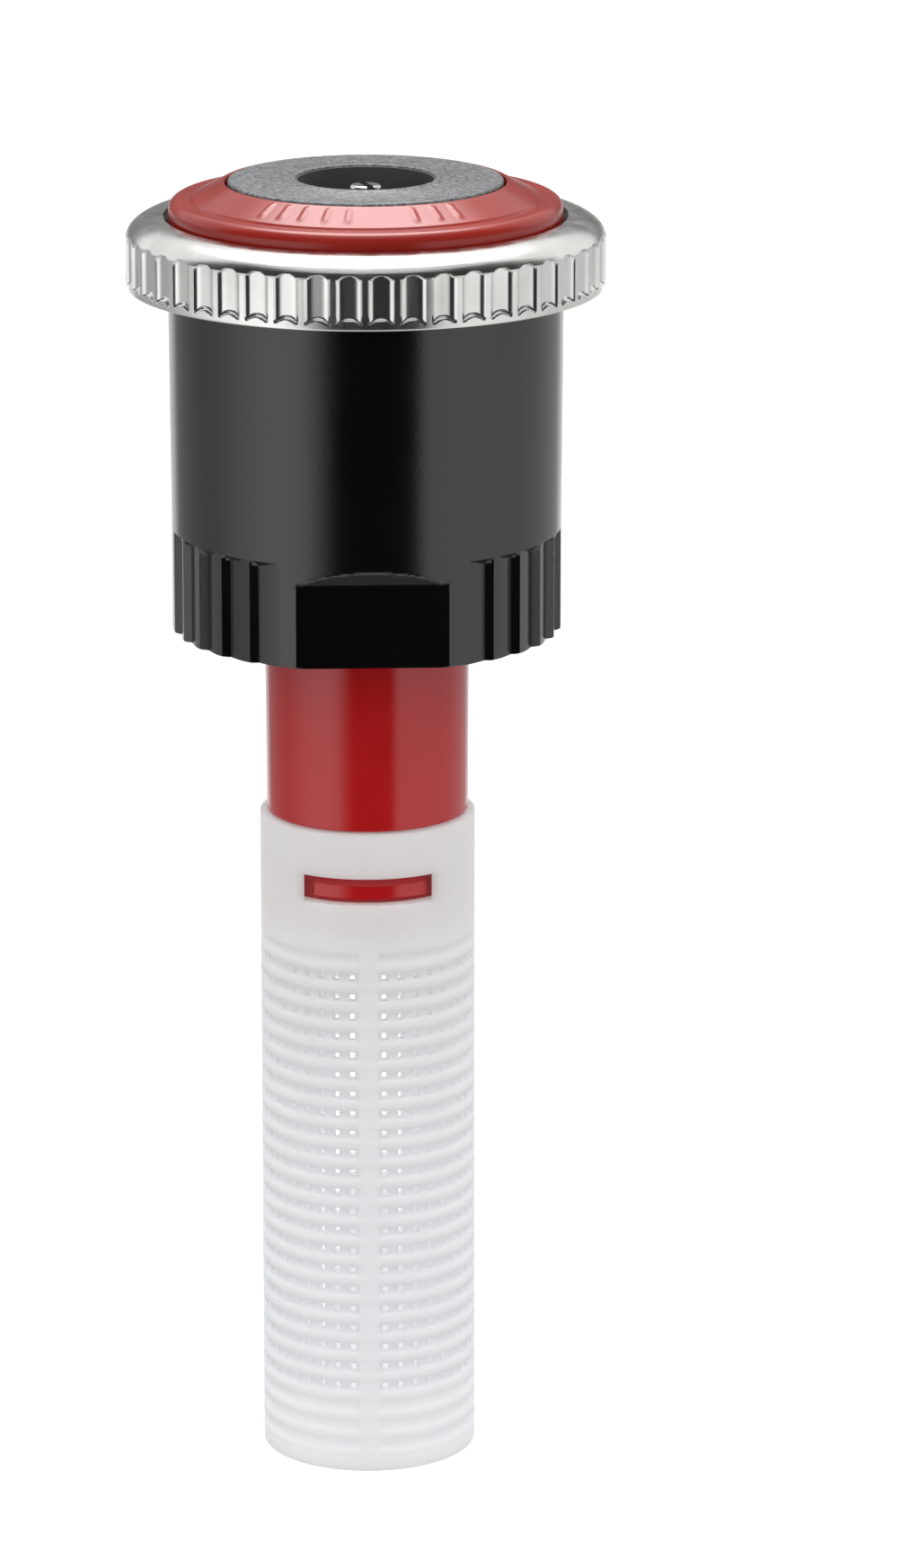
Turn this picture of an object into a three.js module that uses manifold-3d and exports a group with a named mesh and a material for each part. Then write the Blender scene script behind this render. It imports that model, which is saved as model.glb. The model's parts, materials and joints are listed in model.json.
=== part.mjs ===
// Rotating multi-stream nozzle for a pop-up sprinkler, with its filter. Millimetres, +Z up.
// The origin is the centre of the body's bottom rim, where the riser screws in. Front is -Y.
import * as THREE from "three";
import { mergeVertices } from "three/addons/utils/BufferGeometryUtils.js";
import Module from "manifold-3d";

const wasm = await Module();
wasm.setup();

// ---- Driving dimensions ----

const ROUND = 36; // facets round the body, the stem and what turns inside them
const FILTER_ROUND = 24;
const SMALL_ROUND = 16; // facets round the shaft and what sits on it
const MERGE_WITHIN = 1e-3;
const SLACK = 0.1; // usual gap between two pieces that meet
const MOST = 20; // well outside every radius here, for cutting tools

const BODY = {
  radius: 12,
  topRadius: 12.1,
  top: 23.8,
  cupRadius: 11.05,
  webTop: 9.4,
  webUnder: 8.2,
  stemHole: 6.45,
  ringSeatRadius: 7.6,
  ringSeatDepth: 0.55,
};
const THREAD = { majorRadius: 7.94, minorRadius: 7.45, pitch: 0.907, turns: 7, start: 0.5 };
const FLAT = { offset: 11.07, top: 5.2, width: 10 };
const GRIP = { teeth: 5, firstTooth: 38, step: 11, wallAngle: 1.9, depth: 0.38, top: 6.2 };
const GASKET = { inner: 6.7, outer: 7.8, thickness: 0.65 };
const STEM_RING = { inner: 6.52, outer: 7.45, height: 0.5 };

const STEM = {
  radius: 6.32,
  lowRadius: 6.25,
  boreRadius: 5.2,
  flangeRadius: 8.5,
  flangeUnder: 9.5,
  flangeTop: 10.7,
  step: -11.6,
  spigotRadius: 5.75,
  spigotBore: 4.9,
  bottom: -18.6,
};
const SEAT = { holeRadius: 3.4, under: -4.2, top: -3.4 };
const LUG = { radius: 6.2, halfAngle: 34, bottom: -16.05, top: -14.65 };
const RAIL = { inner: 4, width: 1, bottom: -18.4, top: -5 };

const HUB = {
  bore: 1.1,
  radius: 2.3,
  rimInner: 4.5,
  rimOuter: 5.1,
  bottom: 3.6,
  top: 8,
  spokes: 3,
  spokeWidth: 0.8,
};
const SLEEVE = { bore: 2.6, radius: 4.1, flangeRadius: 8.4, flangeTop: 11.4, top: 13 };

const FILTER = {
  radius: 6.7,
  top: -11.7,
  bore: 5.85,
  bottom: -53.2,
  floor: -52,
  edge: 0.6,
};
const WINDOW = { halfAngle: 36, bottom: -16.2, top: -14.5, reliefRadius: 6.33 };

const RING = {
  crestRadius: 14.65,
  floorRadius: 14.42,
  bore: 13.5,
  lipRadius: 12.35,
  bottom: 21.4,
  fluteBottom: 22,
  shoulder: 24.45,
  lipUnder: 25.05,
  lipTop: 25.75,
  edge: 0.15,
  flutes: 48,
  crestShare: 0.22,
  floorShare: 0.42,
};
const CARRIER = {
  skirtOuter: 13.4,
  skirtInner: 12.45,
  skirtBottom: 21.6,
  top: 24.9,
  bridgeUnder: 23.95,
  wallInner: 10.2,
  wallOuter: 10.7,
  floorUnder: 12,
  floorTop: 12.6,
  hole: 4.3,
};
const WIPER = { inner: 10.76, outer: 10.98, bottom: 20.5, top: 21.7 };

const ROTOR = {
  noseRadius: 3.2,
  nose: 13.4,
  coneRadius: 9.9,
  coneTop: 24.9,
  flangeRadius: 12.05,
  flangeUnder: 25.1,
  rimRounding: 1.2,
  rimTop: 26.8,
  creaseRadius: 10.62,
  crease: 26.86,
  recessRadius: 8.52,
  recessFloor: 26.7,
  top: 27.9,
  chamberRadius: 6.2,
  chamberFloor: 20,
  bearingBore: 1.85,
  sealBore: 2.3,
  sealTop: 17.4,
  sealFloor: 16,
  shaftHole: 1.3,
};
const STREAM = { count: 14, size: 0.62, sweep: 22, steps: 4 };
const CAP = { radius: 8.42, hole: 4.15, bottom: 26.8, top: 27.95, lipWidth: 0.45, lipTop: 28.05, edge: 0.1 };
const PLUG = { radius: 6.1, bottom: 22.9, top: 25.4, sealBore: 2.75, sealTop: 23.6 };

const SHAFT = {
  radius: 1,
  bottom: -20.5,
  top: 27.6,
  edge: 0.15,
  slotWidth: 0.45,
  slotDepth: 0.9,
  slotAzimuth: 107,
  grooveRadius: 0.75,
  grooveBottom: -6.9,
  grooveTop: -6.25,
};
const BEARING = { bore: 1.08, radius: 1.78 };
const STATOR = {
  bore: 1.05,
  radius: 5.7,
  bottom: 20.4,
  disc: 0.6,
  hubRadius: 2,
  top: 22.5,
  fins: 6,
  finWidth: 0.6,
  finRadius: 5.3,
  finTop: 22.2,
};
const NUT = {
  bore: 1.08,
  radius: 4.6,
  coneRadius: 4,
  tipRadius: 1.6,
  bottom: -15,
  flangeTop: -13.6,
  tip: -10.2,
};
const NOTCH = { inner: 3.8, width: 1.3 };
const CLIP = { bore: 0.8, radius: 1.9, bottom: -6.8, top: -6.35, gap: 1.3 };
const WASHER = { bore: 1.1, radius: 2.4, bottom: -6.2, top: -5.7 };
const SPRING = { radius: 1.9, wire: 0.2, coils: 7, stepsPerCoil: 10, wireSides: 5 };

const BLACK = { color: 0x1c1c1e, roughness: 0.42, metalness: 0 };
const RED = { color: 0xb3262a, roughness: 0.35, metalness: 0 };
const WHITE = { color: 0xe8e8ec, roughness: 0.5, metalness: 0 };
const GREY = { color: 0x8a8c8f, roughness: 0.6, metalness: 0 };
const STEEL = { color: 0xc9c7c2, roughness: 0.25, metalness: 1 };
const RUBBER = { color: 0x18181a, roughness: 0.8, metalness: 0 };
const BEARING_PLASTIC = { color: 0xd9d4c4, roughness: 0.5, metalness: 0 };

// ---- Solids ----

const radians = THREE.MathUtils.degToRad;

/** The closed solid that a closed geometry bounds. */
function solidOf(geometry) {
  const bare = geometry.index ? geometry.toNonIndexed() : geometry.clone();
  bare.deleteAttribute("normal");
  bare.deleteAttribute("uv");
  const merged = mergeVertices(bare, MERGE_WITHIN);
  const corners = merged.index.array;
  const kept = [];
  for (let i = 0; i < corners.length; i += 3) {
    const [a, b, c] = corners.slice(i, i + 3);
    if (a !== b && b !== c && c !== a) {
      kept.push(a, b, c);
    }
  }
  const vertProperties = merged.attributes.position.array;
  const triVerts = new Uint32Array(kept);
  return new wasm.Manifold(new wasm.Mesh({ numProp: 3, vertProperties, triVerts }));
}

function geometryOf(solid) {
  const { vertProperties, triVerts } = solid.getMesh();
  const geometry = new THREE.BufferGeometry();
  geometry.setAttribute("position", new THREE.BufferAttribute(vertProperties, 3));
  geometry.setIndex(new THREE.BufferAttribute(triVerts, 1));
  geometry.computeVertexNormals();
  return geometry;
}

const join = (solids) => solids.reduce((whole, piece) => whole.add(piece));
const cut = (solid, tools) => tools.reduce((left, tool) => left.subtract(tool), solid);

/** A solid of revolution about Z from a closed outline of [radius, height] corners. */
function turned(outline, segments = ROUND) {
  const corners = outline.map(([radius, height]) => new THREE.Vector2(radius, height));
  if (THREE.ShapeUtils.area(corners) < 0) {
    corners.reverse();
  }
  const lathe = new THREE.LatheGeometry([...corners, corners[0]], segments);
  return solidOf(lathe.rotateX(Math.PI / 2));
}

/** A plain ring about Z. */
function ring(inner, outer, bottom, top, segments = ROUND) {
  return turned([[inner, bottom], [outer, bottom], [outer, top], [inner, top]], segments);
}

/** Outline points round a quarter of an ellipse, from its outer side up to its top. */
function quarter(radius, height, across, rise, steps = 5) {
  return Array.from({ length: steps + 1 }, (_, i) => {
    const turn = (Math.PI / 2) * (i / steps);
    return [radius + across * Math.cos(turn), height + rise * Math.sin(turn)];
  });
}

/** A prism from bottom to top whose section is an outline of [x, y] corners. */
function prism(outline, bottom, top) {
  const shape = new THREE.Shape(outline.map(([x, y]) => new THREE.Vector2(x, y)));
  const options = { depth: top - bottom, bevelEnabled: false, steps: 1 };
  return solidOf(new THREE.ExtrudeGeometry(shape, options).translate(0, 0, bottom));
}

const polar = (radius, degrees) => [radius * Math.cos(radians(degrees)), radius * Math.sin(radians(degrees))];

/** A prism over the part of a ring between two radii, centred on an azimuth. */
function sector(inner, outer, azimuth, halfAngle, bottom, top, pieces = 6) {
  const angles = Array.from({ length: pieces + 1 }, (_, i) => azimuth + halfAngle * ((2 * i) / pieces - 1));
  const outside = angles.map((angle) => polar(outer, angle));
  const inside = angles.map((angle) => polar(inner, angle)).reverse();
  return prism([...outside, ...inside], bottom, top);
}

/** A block that runs out from the axis, from one radius to another, along an azimuth. */
function spoke(inner, outer, width, azimuth, bottom, top) {
  const block = new THREE.BoxGeometry(outer - inner, width, top - bottom);
  block.translate((inner + outer) / 2, 0, (bottom + top) / 2);
  return solidOf(block.rotateZ(radians(azimuth)));
}

/** Azimuths of a number of equal steps round the axis. */
const azimuths = (count, first = 0) => Array.from({ length: count }, (_, i) => first + (360 * i) / count);

/** A tube of a regular section that follows a curve. */
function tube(path, radius, sides, steps) {
  const section = new THREE.Shape(azimuths(sides).map((angle) => new THREE.Vector2(...polar(radius, angle))));
  return solidOf(new THREE.ExtrudeGeometry(section, { extrudePath: path, steps, bevelEnabled: false }));
}

// ---- Body ----

/** Zigzag of a female thread from its top down, drawn as rings because its helix carries no load here. */
function threadOutline() {
  const corners = [];
  for (let turn = THREAD.turns; turn > 0; turn -= 1) {
    const top = THREAD.start + turn * THREAD.pitch;
    corners.push([THREAD.majorRadius, top], [THREAD.minorRadius, top - THREAD.pitch / 2]);
  }
  return [...corners, [THREAD.majorRadius, THREAD.start]];
}

/** A wrench flat: a chord cut off the skirt, whose end ramps out at 45 degrees. */
function wrenchFlatTool(azimuth) {
  const reach = BODY.radius + 1 - FLAT.offset;
  const side = [[0, -1], [0, FLAT.top], [reach, FLAT.top + reach], [reach, -1]];
  const shape = new THREE.Shape(side.map(([out, height]) => new THREE.Vector2(out, height)));
  const tool = new THREE.ExtrudeGeometry(shape, { depth: FLAT.width, bevelEnabled: false });
  tool.translate(FLAT.offset, 0, -FLAT.width / 2).rotateX(Math.PI / 2);
  return solidOf(tool.rotateZ(radians(azimuth)));
}

/** One grip tooth's notch: a steep wall that faces the nearest flat, then a slow slope back out. */
function gripTool(azimuth, turnTowards) {
  const over = BODY.radius + 1;
  const corners = [
    polar(over, azimuth),
    polar(BODY.radius, azimuth),
    polar(BODY.radius - GRIP.depth, azimuth + turnTowards * GRIP.wallAngle),
    polar(BODY.radius, azimuth + turnTowards * GRIP.step),
    polar(over, azimuth + turnTowards * GRIP.step),
  ];
  return prism(turnTowards > 0 ? corners : corners.reverse(), -1, GRIP.top);
}

function nozzleBody() {
  const shell = turned([
    [BODY.radius, 0],
    [BODY.topRadius, BODY.top - 3],
    [BODY.topRadius, BODY.top],
    [BODY.cupRadius, BODY.top],
    [BODY.cupRadius, BODY.webTop],
    [BODY.ringSeatRadius, BODY.webTop],
    [BODY.ringSeatRadius, BODY.webTop - BODY.ringSeatDepth],
    [BODY.stemHole, BODY.webTop - BODY.ringSeatDepth],
    [BODY.stemHole, BODY.webUnder],
    [THREAD.majorRadius, BODY.webUnder],
    ...threadOutline(),
    [THREAD.majorRadius + 0.3, 0],
  ]);
  const tools = [];
  for (const flatAzimuth of [-90, 90]) {
    tools.push(wrenchFlatTool(flatAzimuth));
    for (const side of [-1, 1]) {
      for (let tooth = 0; tooth < GRIP.teeth; tooth += 1) {
        const away = GRIP.firstTooth + tooth * GRIP.step;
        tools.push(gripTool(flatAzimuth + side * away, -side));
      }
    }
  }
  return cut(shell, tools);
}

function inletStem() {
  const pipe = turned([
    [STEM.spigotRadius, STEM.bottom],
    [STEM.spigotRadius, STEM.step],
    [STEM.lowRadius, STEM.step],
    [STEM.radius, 0],
    [STEM.radius, STEM.flangeUnder],
    [STEM.flangeRadius, STEM.flangeUnder],
    [STEM.flangeRadius, STEM.flangeTop],
    [STEM.boreRadius, STEM.flangeTop],
    [STEM.boreRadius, SEAT.top],
    [SEAT.holeRadius, SEAT.top],
    [SEAT.holeRadius, SEAT.under],
    [STEM.spigotBore, SEAT.under],
    [STEM.spigotBore, STEM.bottom],
  ]);
  const wall = (STEM.spigotRadius + STEM.spigotBore) / 2;
  const lugs = [-90, 90].map((azimuth) =>
    sector(wall, LUG.radius, azimuth, LUG.halfAngle, LUG.bottom, LUG.top),
  );
  const rails = [0, 180].map((azimuth) =>
    spoke(RAIL.inner, wall, RAIL.width, azimuth, RAIL.bottom, RAIL.top),
  );
  return join([pipe, ...lugs, ...rails]);
}

function valveHub() {
  const hub = ring(HUB.bore, HUB.radius, HUB.bottom, HUB.top, SMALL_ROUND);
  const rim = ring(HUB.rimInner, HUB.rimOuter, HUB.bottom, HUB.top, FILTER_ROUND);
  const inner = (HUB.bore + HUB.radius) / 2;
  const outer = (HUB.rimInner + HUB.rimOuter) / 2;
  const spokes = azimuths(HUB.spokes, 90).map((azimuth) =>
    spoke(inner, outer, HUB.spokeWidth, azimuth, HUB.bottom, HUB.top),
  );
  return join([hub, rim, ...spokes]);
}

function orificeSleeve() {
  const bottom = STEM.flangeTop + SLACK;
  return turned([
    [SLEEVE.bore, bottom],
    [SLEEVE.flangeRadius, bottom],
    [SLEEVE.flangeRadius, SLEEVE.flangeTop],
    [SLEEVE.radius, SLEEVE.flangeTop],
    [SLEEVE.radius, SLEEVE.top],
    [SLEEVE.bore, SLEEVE.top],
  ]);
}

/** The flat gasket that the riser's rim presses against the web. */
function riserGasket() {
  const top = BODY.webUnder - SLACK;
  return ring(GASKET.inner, GASKET.outer, top - GASKET.thickness, top);
}

/** The ring in the web's counterbore, squeezed by the stem's flange. */
const stemRing = () => ring(STEM_RING.inner, STEM_RING.outer, BODY.webTop - STEM_RING.height, BODY.webTop);

function returnSpring() {
  const gap = SPRING.wire + 0.05;
  const low = WASHER.top + gap;
  const high = HUB.bottom - gap;
  class Helix extends THREE.Curve {
    getPoint(t, target = new THREE.Vector3()) {
      const [x, y] = polar(SPRING.radius, 360 * SPRING.coils * t);
      return target.set(x, y, low + (high - low) * t);
    }
  }
  return tube(new Helix(), SPRING.wire, SPRING.wireSides, SPRING.coils * SPRING.stepsPerCoil);
}

// ---- Filter ----

/** A closed-ended basket. Its wall is whole here: the mesh is finer than anything that touches it. */
function filterBasket() {
  const shell = turned(
    [
      [0, FILTER.bottom],
      [FILTER.radius - FILTER.edge, FILTER.bottom],
      [FILTER.radius, FILTER.bottom + FILTER.edge],
      [FILTER.radius, FILTER.top],
      [FILTER.bore, FILTER.top],
      [FILTER.bore, FILTER.floor],
      [0, FILTER.floor],
    ],
    FILTER_ROUND,
  );
  const inside = FILTER.bore - 0.5;
  const outside = FILTER.radius + 0.5;
  const tools = [];
  for (const azimuth of [-90, 90]) {
    tools.push(sector(inside, outside, azimuth, WINDOW.halfAngle, WINDOW.bottom, WINDOW.top));
    // The collar is thinner above the window, so that the stem's lug passes as the filter pulls off.
    const over = FILTER.top + 1;
    tools.push(sector(inside, WINDOW.reliefRadius, azimuth, WINDOW.halfAngle, WINDOW.bottom, over));
  }
  return cut(shell, tools);
}

// ---- Arc ring ----

/** The ring's outer outline: shallow flutes with narrow crests between them. */
function fluteOutline() {
  const step = 360 / RING.flutes;
  const halfCrest = (RING.crestShare * step) / 2;
  const halfFloor = (RING.floorShare * step) / 2;
  return azimuths(RING.flutes).flatMap((azimuth) => [
    polar(RING.crestRadius, azimuth - halfCrest),
    polar(RING.crestRadius, azimuth + halfCrest),
    polar(RING.floorRadius, azimuth + step / 2 - halfFloor),
    polar(RING.floorRadius, azimuth + step / 2 + halfFloor),
  ]);
}

function adjustmentRing() {
  const across = RING.crestRadius - RING.lipRadius;
  const rise = RING.lipTop - RING.shoulder;
  const blank = turned(
    [
      [RING.bore, RING.bottom],
      [RING.crestRadius - RING.edge, RING.bottom],
      [RING.crestRadius, RING.bottom + RING.edge],
      ...quarter(RING.lipRadius, RING.shoulder, across, rise),
      [RING.lipRadius, RING.lipUnder],
      [RING.bore, RING.lipUnder],
    ],
    RING.flutes,
  );
  const top = RING.lipTop + 1;
  const around = ring(RING.lipRadius, MOST, RING.fluteBottom, top);
  const flutes = around.subtract(prism(fluteOutline(), RING.fluteBottom - 1, top + 1));
  return blank.subtract(flutes);
}

/** Hooks over the body's rim; its floor closes the arc opening round the orifice sleeve. */
function ringCarrier() {
  return turned([
    [CARRIER.skirtInner, CARRIER.skirtBottom],
    [CARRIER.skirtOuter, CARRIER.skirtBottom],
    [CARRIER.skirtOuter, CARRIER.top],
    [CARRIER.wallInner, CARRIER.top],
    [CARRIER.wallInner, CARRIER.floorTop],
    [CARRIER.hole, CARRIER.floorTop],
    [CARRIER.hole, CARRIER.floorUnder],
    [CARRIER.wallOuter, CARRIER.floorUnder],
    [CARRIER.wallOuter, CARRIER.bridgeUnder],
    [CARRIER.skirtInner, CARRIER.bridgeUnder],
  ]);
}

const wiperSeal = () => ring(WIPER.inner, WIPER.outer, WIPER.bottom, WIPER.top);

// ---- Rotor ----

/** The channel of one stream: up the cone, then bent round the axis so that the water spins the rotor. */
function streamTool(azimuth) {
  const stations = [[0.05, 0], [0.45, 0], [0.8, 0.35], [1.08, 1]];
  const points = stations.map(([climb, turn]) => {
    const radius = THREE.MathUtils.lerp(ROTOR.noseRadius, ROTOR.coneRadius, climb) + STREAM.size / 4;
    const height = THREE.MathUtils.lerp(ROTOR.nose, ROTOR.coneTop, Math.min(climb, 1));
    const [x, y] = polar(radius, azimuth + turn * STREAM.sweep);
    return new THREE.Vector3(x, y, height);
  });
  return tube(new THREE.CatmullRomCurve3(points), STREAM.size, 4, STREAM.steps);
}

function rotorPlate() {
  const plate = turned([
    [ROTOR.shaftHole, ROTOR.nose],
    [ROTOR.noseRadius, ROTOR.nose],
    [ROTOR.coneRadius, ROTOR.coneTop],
    [ROTOR.coneRadius, ROTOR.flangeUnder],
    [ROTOR.flangeRadius, ROTOR.flangeUnder],
    ...quarter(
      ROTOR.flangeRadius - ROTOR.rimRounding,
      ROTOR.rimTop - ROTOR.rimRounding,
      ROTOR.rimRounding,
      ROTOR.rimRounding,
    ),
    [ROTOR.creaseRadius, ROTOR.crease],
    [ROTOR.recessRadius, ROTOR.top],
    [ROTOR.recessRadius, ROTOR.recessFloor],
    [ROTOR.chamberRadius, ROTOR.recessFloor],
    [ROTOR.chamberRadius, ROTOR.chamberFloor],
    [ROTOR.bearingBore, ROTOR.chamberFloor],
    [ROTOR.bearingBore, ROTOR.sealTop],
    [ROTOR.sealBore, ROTOR.sealTop],
    [ROTOR.sealBore, ROTOR.sealFloor],
    [ROTOR.shaftHole, ROTOR.sealFloor],
  ]);
  return cut(plate, azimuths(STREAM.count).map(streamTool));
}

function rotorCap() {
  const lipRadius = CAP.hole + CAP.lipWidth;
  return turned([
    [CAP.hole, CAP.bottom],
    [CAP.radius, CAP.bottom],
    [CAP.radius, CAP.top - CAP.edge],
    [CAP.radius - CAP.edge, CAP.top],
    [lipRadius, CAP.top],
    [lipRadius - CAP.edge, CAP.lipTop],
    [CAP.hole + CAP.edge, CAP.lipTop],
    [CAP.hole, CAP.lipTop - CAP.edge],
  ]);
}

function chamberPlug() {
  return turned([
    [ROTOR.bearingBore, PLUG.top],
    [PLUG.radius, PLUG.top],
    [PLUG.radius, PLUG.bottom],
    [PLUG.sealBore, PLUG.bottom],
    [PLUG.sealBore, PLUG.sealTop],
    [ROTOR.bearingBore, PLUG.sealTop],
  ]);
}

const onShaft = (radius, bottom, top) => ring(BEARING.bore, radius, bottom, top, SMALL_ROUND);
const upperBearing = () => onShaft(BEARING.radius, PLUG.sealTop + SLACK, PLUG.top - SLACK);
const lowerBearing = () => onShaft(BEARING.radius, ROTOR.sealTop + SLACK, ROTOR.chamberFloor - SLACK);
const upperSeal = () => onShaft(PLUG.sealBore - SLACK, PLUG.bottom + SLACK, PLUG.sealTop - SLACK);
const lowerSeal = () => onShaft(ROTOR.sealBore - SLACK, ROTOR.sealFloor + SLACK, ROTOR.sealTop - SLACK);

// ---- Shaft ----

function radiusScrew() {
  const rod = turned(
    [
      [0, SHAFT.bottom],
      [SHAFT.radius - SHAFT.edge, SHAFT.bottom],
      [SHAFT.radius, SHAFT.bottom + SHAFT.edge],
      [SHAFT.radius, SHAFT.grooveBottom],
      [SHAFT.grooveRadius, SHAFT.grooveBottom],
      [SHAFT.grooveRadius, SHAFT.grooveTop],
      [SHAFT.radius, SHAFT.grooveTop],
      [SHAFT.radius, SHAFT.top - SHAFT.edge],
      [SHAFT.radius - SHAFT.edge, SHAFT.top],
      [0, SHAFT.top],
    ],
    SMALL_ROUND,
  );
  const reach = SHAFT.radius + 1;
  const floor = SHAFT.top - SHAFT.slotDepth;
  const slot = spoke(-reach, reach, SHAFT.slotWidth, SHAFT.slotAzimuth, floor, SHAFT.top + 1);
  return rod.subtract(slot);
}

/** The brake's paddle wheel, fixed on the shaft in the rotor's grease chamber. */
function brakeStator() {
  const discTop = STATOR.bottom + STATOR.disc;
  const disc = ring(STATOR.bore, STATOR.radius, STATOR.bottom, discTop, FILTER_ROUND);
  const hub = ring(STATOR.bore, STATOR.hubRadius, STATOR.bottom, STATOR.top, SMALL_ROUND);
  const inner = (STATOR.bore + STATOR.hubRadius) / 2;
  const fins = azimuths(STATOR.fins).map((azimuth) =>
    spoke(inner, STATOR.finRadius, STATOR.finWidth, azimuth, discTop - STATOR.disc / 2, STATOR.finTop),
  );
  return join([disc, hub, ...fins]);
}

function shaftClip() {
  const whole = ring(CLIP.bore, CLIP.radius, CLIP.bottom, CLIP.top, SMALL_ROUND);
  return whole.subtract(spoke(0, CLIP.radius + 1, CLIP.gap, 0, CLIP.bottom - 1, CLIP.top + 1));
}

/** Rides up the shaft's thread towards the seat; the stem's rails keep it from turning. */
function throttleNut() {
  const nut = turned(
    [
      [NUT.bore, NUT.bottom],
      [NUT.radius, NUT.bottom],
      [NUT.radius, NUT.flangeTop],
      [NUT.coneRadius, NUT.flangeTop],
      [NUT.tipRadius, NUT.tip],
      [NUT.bore, NUT.tip],
    ],
    FILTER_ROUND,
  );
  const notches = [0, 180].map((azimuth) =>
    spoke(NOTCH.inner, NUT.radius + 1, NOTCH.width, azimuth, NUT.bottom - 1, NUT.flangeTop + 1),
  );
  return cut(nut, notches);
}

const springWasher = () => ring(WASHER.bore, WASHER.radius, WASHER.bottom, WASHER.top, SMALL_ROUND);

// ---- Assembly ----

const sprinklerNozzle = new THREE.Group();

function place(name, solid, look) {
  const mesh = new THREE.Mesh(geometryOf(solid), new THREE.MeshStandardMaterial(look));
  mesh.name = name;
  sprinklerNozzle.add(mesh);
}

place("nozzle_body", nozzleBody(), BLACK);
place("inlet_stem", inletStem(), RED);
place("valve_hub", valveHub(), BLACK);
place("orifice_sleeve", orificeSleeve(), BLACK);
place("riser_gasket", riserGasket(), RUBBER);
place("stem_o_ring", stemRing(), RUBBER);
place("return_spring", returnSpring(), STEEL);
place("filter_basket", filterBasket(), WHITE);
place("adjustment_ring", adjustmentRing(), STEEL);
place("ring_carrier", ringCarrier(), BLACK);
place("ring_wiper_seal", wiperSeal(), RUBBER);
place("rotor_plate", rotorPlate(), RED);
place("rotor_cap", rotorCap(), GREY);
place("chamber_plug", chamberPlug(), BLACK);
place("upper_bearing", upperBearing(), BEARING_PLASTIC);
place("upper_seal", upperSeal(), RUBBER);
place("lower_bearing", lowerBearing(), BEARING_PLASTIC);
place("lower_seal", lowerSeal(), RUBBER);
place("radius_screw", radiusScrew(), STEEL);
place("brake_stator", brakeStator(), BEARING_PLASTIC);
place("shaft_clip", shaftClip(), STEEL);
place("throttle_nut", throttleNut(), BLACK);
place("spring_washer", springWasher(), STEEL);

export default sprinklerNozzle;
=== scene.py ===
import json
import math

import bmesh
import bpy
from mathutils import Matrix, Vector


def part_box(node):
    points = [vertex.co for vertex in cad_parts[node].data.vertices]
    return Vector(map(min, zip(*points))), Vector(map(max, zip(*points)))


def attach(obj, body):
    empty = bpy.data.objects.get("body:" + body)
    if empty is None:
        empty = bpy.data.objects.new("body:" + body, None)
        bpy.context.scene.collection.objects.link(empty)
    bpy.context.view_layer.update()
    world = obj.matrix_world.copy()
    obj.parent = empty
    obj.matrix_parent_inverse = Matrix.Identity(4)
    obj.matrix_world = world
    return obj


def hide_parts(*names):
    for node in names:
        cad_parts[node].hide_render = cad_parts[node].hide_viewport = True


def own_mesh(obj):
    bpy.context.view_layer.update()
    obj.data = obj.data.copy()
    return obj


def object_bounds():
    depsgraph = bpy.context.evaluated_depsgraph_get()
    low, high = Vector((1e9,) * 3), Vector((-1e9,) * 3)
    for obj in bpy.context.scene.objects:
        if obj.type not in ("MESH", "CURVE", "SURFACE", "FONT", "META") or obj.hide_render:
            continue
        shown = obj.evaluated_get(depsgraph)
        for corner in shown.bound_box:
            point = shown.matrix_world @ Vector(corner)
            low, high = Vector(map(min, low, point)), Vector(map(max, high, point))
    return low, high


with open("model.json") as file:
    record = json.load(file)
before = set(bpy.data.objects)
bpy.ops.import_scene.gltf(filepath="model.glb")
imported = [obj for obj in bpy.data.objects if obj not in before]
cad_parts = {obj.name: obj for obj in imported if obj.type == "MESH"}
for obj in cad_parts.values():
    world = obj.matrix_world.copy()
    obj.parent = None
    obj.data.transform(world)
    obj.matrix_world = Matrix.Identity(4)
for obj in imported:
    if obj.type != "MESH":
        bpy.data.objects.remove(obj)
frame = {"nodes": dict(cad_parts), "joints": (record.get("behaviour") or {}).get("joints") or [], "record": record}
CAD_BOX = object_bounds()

# Every outline below is in millimetres, as [radius, height] from the nozzle's own origin.
MM = 0.001
FRONT = -math.pi / 2  # azimuth of the front, -Y


def span(node):
    """Outer radius, bottom and top of a CAD node, in millimetres."""
    low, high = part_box(node)
    return max(high.x, high.y) / MM, low.z / MM, high.z / MM


# ---- Meshes of revolution with shaped surfaces ----


def rounded(corners, steps=5):
    """Points of a closed outline whose corners are [radius, height, optional fillet radius]."""
    points = []
    count = len(corners)
    for index, corner in enumerate(corners):
        here = Vector(corner[:2])
        fillet = corner[2] if len(corner) > 2 else 0
        if not fillet:
            points.append(tuple(here))
            continue
        back = Vector(corners[index - 1][:2]) - here
        ahead = Vector(corners[(index + 1) % count][:2]) - here
        half = back.angle(ahead) / 2
        reach = min(fillet / math.tan(half), 0.49 * back.length, 0.49 * ahead.length)
        size = reach * math.tan(half)
        middle = here + (back.normalized() + ahead.normalized()).normalized() * (size / math.sin(half))
        start = here + back.normalized() * reach - middle
        end = here + ahead.normalized() * reach - middle
        for step in range(steps + 1):
            points.append(tuple(middle + start.slerp(end, step / steps) * size))
    return points


def quarter(radius, height, across, rise, steps=14):
    """Points round a quarter of an ellipse centred at [radius, height], from its outer side up to its top."""
    turns = [math.pi / 2 * step / steps for step in range(steps + 1)]
    return [(radius + across * math.cos(turn), height + rise * math.sin(turn)) for turn in turns]


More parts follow.
